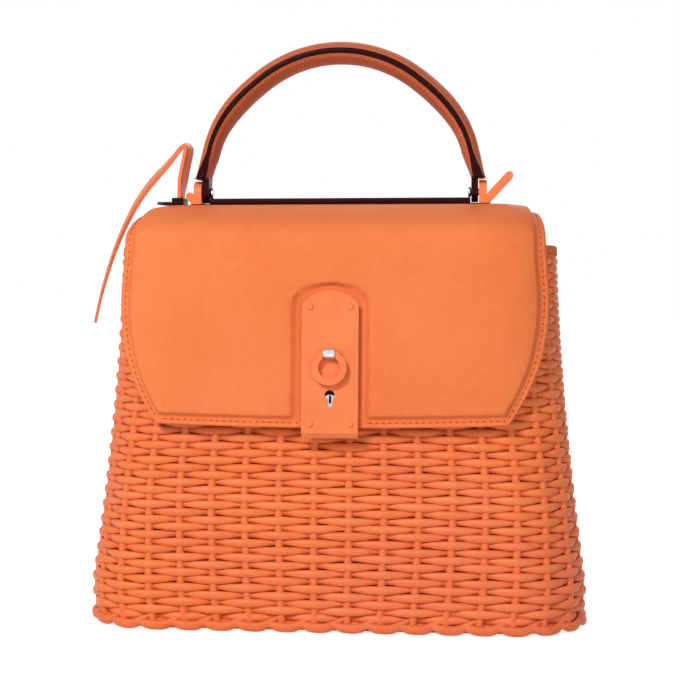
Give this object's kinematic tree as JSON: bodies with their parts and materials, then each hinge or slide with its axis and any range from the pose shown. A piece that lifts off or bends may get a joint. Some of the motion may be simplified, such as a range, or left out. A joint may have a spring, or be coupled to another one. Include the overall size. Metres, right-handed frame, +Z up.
{
  "type": "top handle bag",
  "caption": "Flared woven basket bag with a padded leather flap, lock plate with a ring, swinging arched handle and a hanging strap tail.",
  "frame": {"origin": "centre of the base, on the plane that the bag stands on", "axes": "+X to the viewer's right across the width, +Y to the back, +Z up; the lock plate faces -Y"},
  "size_m": [0.2934, 0.1299, 0.3375],
  "materials": {
    "wicker": "painted wicker, satin",
    "leather": "grained leather, satin",
    "edge_paint": "glossy dark edge paint",
    "enamel": "smooth enamel",
    "chrome": "polished",
    "lining_cloth": "matt cloth"
  },
  "bodies": {
    "basket": {"woven_basket": "wicker", "foot_border": "wicker", "base_panel": "wicker", "lining": "lining_cloth", "rim_binding": "leather", "back_yoke": "leather", "catch_disc": "chrome"},
    "flap": {"flap": "leather", "hinge_fold": "leather", "lock_plate": "enamel", "lock_backing": "edge_paint", "plate_rivets": "enamel", "ring_staple": "chrome", "snap_disc": "chrome", "top_strip": "edge_paint", "left_side_tab": "edge_paint", "left_lug": "enamel", "right_lug": "enamel", "left_pivot_pin": "chrome", "right_pivot_pin": "chrome", "strap_sleeve": "edge_paint", "strap": "leather"},
    "handle": {"handle_outer": "leather", "handle_edge": "edge_paint", "handle_inner": "leather", "left_handle_end": "edge_paint", "right_handle_end": "edge_paint"},
    "clasp_ring": {"clasp_ring": "enamel"},
    "lock_plug": {"lock_plug": "chrome"}
  },
  "joints": [
    {"name": "flap_hinge", "type": "hinge", "parent": "basket", "child": "flap", "pos_m": [0, 0.04989, 0.2167], "axis": [-1, 0, 0], "range_deg": [0, 110]},
    {"name": "handle_swing", "type": "hinge", "parent": "flap", "child": "handle", "pos_m": [0, 0, 0.249], "axis": [1, 0, 0], "range_deg": [-75, 75]},
    {"name": "ring_lift", "type": "hinge", "parent": "flap", "child": "clasp_ring", "pos_m": [0, -0.06465, 0.15667], "axis": [-1, 0, 0], "range_deg": [0, 110]},
    {"name": "lock_turn", "type": "hinge", "parent": "flap", "child": "lock_plug", "pos_m": [0, -0.06045, 0.12868], "axis": [0, -0.9959, 0.09], "range_deg": [0, 90]}
  ]
}
